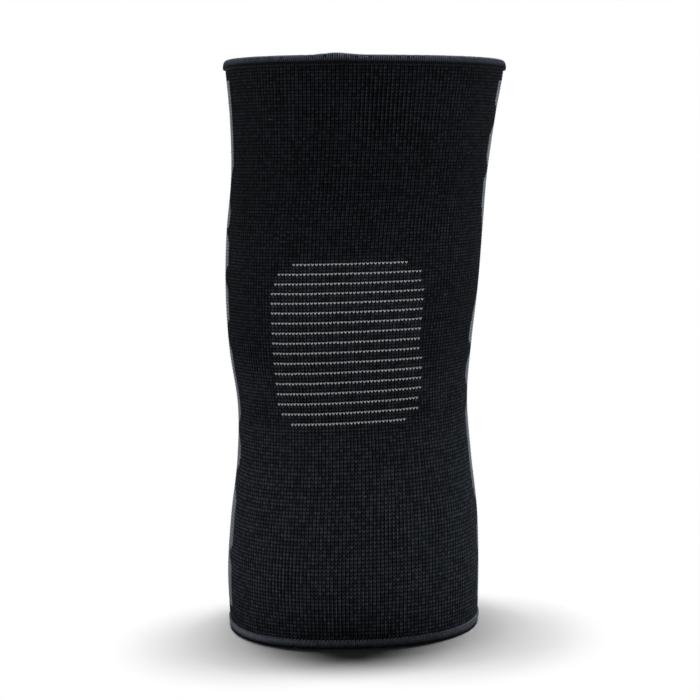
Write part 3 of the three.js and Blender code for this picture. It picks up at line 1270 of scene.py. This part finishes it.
@dataclass
class OverlockHem:
    """Rim bound with close wraps of thread over a smooth roll, with a row of needle stitches."""

    leg: LegForm
    rim: Rim
    lap: float = 0.0
    height: float = 4.2
    pitch: float = 1.0
    thread_radius: float = 0.47
    outside: float = 1.3
    inside: float = -3.5
    lap_turn: float = -12.0
    lap_width: float = 14.0
    roll_columns: int = 240
    roll_corners: int = 16
    roll_inset: float = 0.35
    roll_thinning: float = 0.2
    roll_powers: tuple[float, float] = (0.9, 0.85)
    wrap_stray: float = 0.03
    needle_pitch: float = 1.75
    needle_length: float = 1.3
    needle_radius: float = 0.24
    needle_lean: float = 0.35
    needle_lift: float = 0.15
    needle_gap: float = 0.25
    # Nearly black painted shade at the base of each wrap, where it tucks into the knit.
    finish: ThreadFinish = ThreadFinish(
        "hem_thread",
        (0.115, 0.132, 0.174),
        spread=0.6,
        start_gain=0.03,
    )
    core: ThreadFinish = ThreadFinish("hem_core", (0.01, 0.012, 0.016), roughness=0.9, shine=0.0)
    needle: ThreadFinish = ThreadFinish("needle_thread", (0.012, 0.014, 0.018))

    @property
    def name(self) -> str:
        """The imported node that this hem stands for."""
        return "top_hem" if self.rim is Rim.THIGH else "bottom_hem"

    @property
    def centre(self) -> float:
        """How far outside the wall's outer face the middle of the hem lies."""
        return (self.outside + self.inside) / 2

    @property
    def half_width(self) -> float:
        """Half the hem's thickness."""
        return (self.outside - self.inside) / 2

    def from_end(self, depth: Array | float) -> Array | float:
        """Height of a place that is depth inside the rim's end."""
        return self.leg.height - depth if self.rim is Rim.THIGH else depth

    def swell(self, turn: Array) -> Array:
        """How much larger the hem is at a turn, where its thread laps over itself."""
        return 1 + self.lap * bell(turn_between(turn, self.lap_turn), self.lap_width)

    def build(self) -> list[bpy.types.Object]:
        """Makes the roll, the wraps and the needle stitches."""
        pieces = [self._roll(), self._wraps(), self._needle_row()]
        for piece in pieces:
            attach(piece, "root")
            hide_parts(self.name)
            report(piece)
        return pieces

    def _ring(self, pitch: float) -> Array:
        """Turns at equal steps of length round the rim."""
        steps = np.linspace(0, 360, 1441)
        ring = self.leg.skin(steps, np.full(len(steps), self.from_end(self.height / 2)))
        length = np.concatenate([[0], np.cumsum(np.linalg.norm(np.diff(ring, axis=0), axis=1))])
        count = int(round(length[-1] / (pitch * MM)))
        return np.interp(np.arange(count) / count * length[-1], length, steps)

    def _roll(self) -> bpy.types.Object:
        """Smooth closed roll under the wraps."""
        turns = np.arange(self.roll_columns) * 360 / self.roll_columns
        angles = np.linspace(0, 2 * np.pi, self.roll_corners, endpoint=False)
        half = self.half_width - self.roll_inset - self.roll_thinning
        tall = self.height / 2 - self.roll_inset / 2
        side_power, rise_power = self.roll_powers
        points = np.empty((self.roll_corners, self.roll_columns, 3))
        for index, angle in enumerate(angles):
            side, rise = math.cos(angle), math.sin(angle)
            swell = self.swell(turns)
            outward = self.centre + half * swell * math.copysign(abs(side) ** side_power, side)
            lift = math.copysign(abs(rise) ** rise_power, rise)
            depth = self.height - (tall + tall * lift) * swell
            points[index] = self.leg.skin(turns, self.from_end(depth), outward)
        faces = FaceList()
        row = np.arange(self.roll_corners)[:, None]
        col = np.arange(self.roll_columns)[None, :]
        down, right = (row + 1) % self.roll_corners, (col + 1) % self.roll_columns
        quads = np.stack(
            np.broadcast_arrays(
                row * self.roll_columns + col,
                row * self.roll_columns + right,
                down * self.roll_columns + right,
                down * self.roll_columns + col,
            ),
            axis=-1,
        ).reshape(-1, 4)
        if self.rim is Rim.CALF:
            quads = quads[:, ::-1]
        blank = np.zeros((len(quads), 4, 2))
        faces.add(quads, blank, blank, True)
        mesh = faces.mesh(self.name + "_roll", points.reshape(-1, 3))
        for layer in list(mesh.uv_layers):
            mesh.uv_layers.remove(layer)
        mesh.materials.append(self.core.build())
        return add_object(self.name + "_roll", mesh)

    def _wraps(self) -> bpy.types.Object:
        """Wraps of thread, one beside the other."""
        turns = self._ring(self.pitch)
        rng = np.random.default_rng(SEED + self.rim.value)
        base = np.full(len(turns), self.from_end(self.height))
        _, up, outward = self.leg.directions(turns, base)
        end_way = up * self.rim.value
        swell = self.swell(turns)
        stray = rng.normal(0, self.wrap_stray, (len(turns), 2))
        size = np.stack(
            [swell * (1 + stray[:, 0]), np.ones(len(turns)), swell * (1 + stray[:, 1] / 2)], axis=-1
        )
        size = np.minimum(size, swell[:, None])
        points = self.leg.skin(turns, base, self.centre)
        strands = StrandTree(
            StrandShape.WRAP,
            self.thread_radius,
            sides=5,
            steps=11,
            half_width=self.half_width - self.thread_radius,
            depth=self.height - self.thread_radius,
            slant=0.7,
        )
        return strands.lay(
            self.name + "_wraps", points, outward, end_way, size, self.finish.build()
        )

    def _needle_row(self) -> bpy.types.Object:
        """Slanted needle stitches along the inner border of the wraps."""
        turns = self._ring(self.needle_pitch)
        base = np.full(len(turns), self.from_end(self.height + self.needle_gap))
        around, up, outward = self.leg.directions(turns, base)
        along = around + self.needle_lean * up
        along /= np.linalg.norm(along, axis=1, keepdims=True)
        length = np.full(len(turns), self.needle_length * MM)
        ones = np.ones(len(turns))
        strands = StrandTree(StrandShape.LEG, self.needle_radius, sides=5, steps=4, arch=0.2)
        return strands.lay(
            self.name + "_needle_row",
            self.leg.skin(turns, base, self.needle_lift),
            along,
            outward,
            np.stack([length, ones, ones], axis=-1),
            self.needle.build(),
        )


@dataclass
class LooseFibres:
    """Lint on the knitting and a few light thread ends on the thigh hem."""

    leg: LegForm
    lint_count: int = 60
    lint_reach: tuple[float, float] = (12.0, 258.0)
    lint_length: tuple[float, float] = (0.25, 0.55)
    lint_lift: float = 0.2
    end_count: int = 5
    end_turn: float = 0.0
    end_spread: float = 3.2
    end_depth: tuple[float, float] = (0.9, 2.6)
    end_length: tuple[float, float] = (0.4, 1.0)
    end_lift: float = 1.2
    radius: float = 0.12
    finish: ThreadFinish = ThreadFinish("loose_fibre", (0.22, 0.23, 0.25), roughness=0.8)

    def build(self) -> bpy.types.Object:
        """Makes all the fibres as one piece."""
        rng = np.random.default_rng(SEED)
        lint_turns = rng.uniform(-180, 180, self.lint_count)
        lint_heights = rng.uniform(*self.lint_reach, self.lint_count)
        end_turns = self.end_turn + rng.normal(0, self.end_spread, self.end_count)
        end_heights = self.leg.height - rng.uniform(*self.end_depth, self.end_count)
        turns = np.concatenate([lint_turns, end_turns])
        heights = np.concatenate([lint_heights, end_heights])
        lift = np.repeat([self.lint_lift, self.end_lift], [self.lint_count, self.end_count])
        around, up, outward = self.leg.directions(turns, heights)
        lean = rng.uniform(-np.pi, np.pi, len(turns))[:, None]
        along = np.cos(lean) * around + np.sin(lean) * up
        lint_length = rng.uniform(*self.lint_length, self.lint_count)
        end_length = rng.uniform(*self.end_length, self.end_count)
        length = np.concatenate([lint_length, end_length]) * MM
        ones = np.ones(len(turns))
        strands = StrandTree(StrandShape.LEG, self.radius, sides=4, steps=5, arch=0.25)
        piece = strands.lay(
            "loose_fibres",
            self.leg.skin(turns, heights, lift),
            along,
            outward,
            np.stack([length, ones, ones], axis=-1),
            self.finish.build(),
        )
        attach(piece, "root")
        report(piece)
        return piece


def report(piece: bpy.types.Object) -> None:
    """Logs a piece with its number of faces."""
    log.info("%s: %d faces", piece.name, len(piece.data.polygons))


@dataclass(frozen=True)
class SoftBox:
    """Square soft light: its name, where it hangs, its power in watts and its side."""

    name: str
    place: tuple[float, float, float]
    power: float
    side: float = 800.0


@dataclass
class Studio:
    """White floor, overhead lights from behind, soft boxes for the sleeve, and the camera.

    Each key is its degrees towards +X, its degrees back and its share of the strength.
    """

    camera_place: tuple[float, float, float] = (-7.53, -850.0, 228.0)
    camera_aim: tuple[float, float, float] = (-7.53, 0.0, 131.7)
    camera_roll: float = 2.3
    lens: float = 90.53
    floor_side: float = 40.0
    floor_tone: float = 0.9
    key_strength: float = 3.5
    key_spread: float = 8.0
    keys: tuple[tuple[float, float, float], ...] = (
        (-4.0, 8.8, 0.31),
        (3.0, 6.0, 0.38),
        (9.5, 7.6, 0.31),
    )
    boxes: tuple[SoftBox, ...] = (
        SoftBox("left_box", (-1300.0, -150.0, 300.0), 2.0),
        SoftBox("right_box", (1300.0, -150.0, 300.0), 3.2),
    )
    box_aim: float = 130.0
    ambient: float = 0.012
    backdrop: float = 1.0

    def build(self) -> None:
        """Makes the floor, the lights and the camera."""
        self._floor()
        self._world()
        for number, (tilt, lean, share) in enumerate(self.keys):
            self._key(f"key_{number}", tilt, lean, share)
        for box in self.boxes:
            self._soft_box(box)
        self._camera()
        bpy.context.scene.view_settings.view_transform = "Standard"
        bpy.context.scene.view_settings.look = "None"

    def _floor(self) -> None:
        """Plain white floor."""
        half = self.floor_side / 2
        mesh = bpy.data.meshes.new("floor")
        mesh.from_pydata(
            [(-half, -half, 0), (half, -half, 0), (half, half, 0), (-half, half, 0)],
            [],
            [(0, 1, 2, 3)],
        )
        material = bpy.data.materials.new("floor_white")
        material.use_nodes = True
        shader = material.node_tree.nodes["Principled BSDF"]
        shader.inputs["Base Color"].default_value = (*(self.floor_tone,) * 3, 1.0)
        shader.inputs["Roughness"].default_value = 0.9
        shader.inputs["Specular IOR Level"].default_value = 0.0
        mesh.materials.append(material)
        add_object("floor", mesh)

    def _world(self) -> None:
        """Dim even light all round, behind a white backdrop."""
        world = bpy.data.worlds.new("studio")
        bpy.context.scene.world = world
        world.use_nodes = True
        world.node_tree.nodes.clear()
        bench = NodeBench(world.node_tree)
        white = (1.0, 1.0, 1.0, 1.0)
        dim = bench.add("ShaderNodeBackground", {"Color": white, "Strength": self.ambient})
        bright = bench.add("ShaderNodeBackground", {"Color": white, "Strength": self.backdrop})
        seen = bench.add("ShaderNodeLightPath")
        both = bench.add(
            "ShaderNodeMixShader",
            {0: seen.outputs["Is Camera Ray"], 1: dim.outputs[0], 2: bright.outputs[0]},
        )
        bench.add("ShaderNodeOutputWorld", {0: both.outputs[0]})

    def _key(self, name: str, tilt: float, lean: float, share: float) -> None:
        """One of the overhead lights, which throw the soft shadow in front of the calf rim.

        Args:
            name: the light's name.
            tilt: degrees that it leans to +X.
            lean: degrees that it leans back.
            share: its share of the strength.
        """
        light = bpy.data.lights.new(name, "SUN")
        light.energy = self.key_strength * share
        light.angle = math.radians(self.key_spread)
        key = add_object(name, light)
        key.rotation_euler = (-math.radians(lean), math.radians(tilt), 0.0)

    def _soft_box(self, box: SoftBox) -> None:
        """Hangs a soft light, aimed at the middle of the sleeve, which leaves the floor alone.

        Args:
            box: how it hangs.
        """
        light = bpy.data.lights.new(box.name, "AREA")
        light.energy = box.power
        light.size = box.side * MM
        lamp = add_object(box.name, light)
        lamp.light_linking.receiver_collection = self._lit()
        where = Vector(box.place) * MM
        way = Vector((0, 0, self.box_aim * MM)) - where
        lamp.location = where
        lamp.rotation_euler = way.to_track_quat("-Z", "Y").to_euler()

    def _lit(self) -> bpy.types.Collection:
        """The pieces of the sleeve, without the floor."""
        lit = bpy.data.collections.get("sleeve_only")
        if lit is None:
            lit = bpy.data.collections.new("sleeve_only")
            for piece in bpy.data.objects:
                if piece.type == "MESH" and piece.name != "floor":
                    lit.objects.link(piece)
        return lit

    def _camera(self) -> None:
        """Camera at the photograph's angle, with its small roll."""
        data = bpy.data.cameras.new("camera")
        data.lens = self.lens
        data.sensor_width = 36.0
        data.clip_start = 0.01
        data.clip_end = 100.0
        camera = add_object("camera", data)
        place, aim = Vector(self.camera_place) * MM, Vector(self.camera_aim) * MM
        forward = (aim - place).normalized()
        right = forward.cross(Vector((0, 0, 1))).normalized()
        up = right.cross(forward)
        roll = math.radians(self.camera_roll)
        rolled_right = math.cos(roll) * right - math.sin(roll) * up
        rolled_up = math.sin(roll) * right + math.cos(roll) * up
        turn = Matrix((rolled_right, rolled_up, -forward)).transposed()
        camera.matrix_world = Matrix.Translation(place) @ turn.to_4x4()
        bpy.context.scene.camera = camera


def main() -> None:
    """Builds the dressed sleeve and its studio."""
    logging.basicConfig(level=logging.INFO, format="%(message)s")
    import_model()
    leg = LegForm()
    leg.settle()
    grid = StitchGrid(leg)
    chart = AreaChart(grid).chart()
    KnittedWall(grid, chart).build()
    LightCourses(grid, chart).build()
    OverlockHem(leg, Rim.THIGH, lap=0.22).build()
    OverlockHem(
        leg,
        Rim.CALF,
        outside=0.8,
        # Painted light: the calf hem's thread is the thigh hem's thread made lighter, kept light on
        # the wraps' outer band, with painted shade over the rim's end and inside.
        finish=ThreadFinish(
            "calf_hem_thread_painted_light",
            (0.205, 0.23, 0.285),
            spread=0.8,
            top_gain=0.3,
            right_gain=0.6,
        ),
        needle=ThreadFinish("calf_needle_thread", (0.24, 0.27, 0.31)),
    ).build()
    LooseFibres(leg).build()
    Studio().build()


if __name__ == "__main__":
    main()
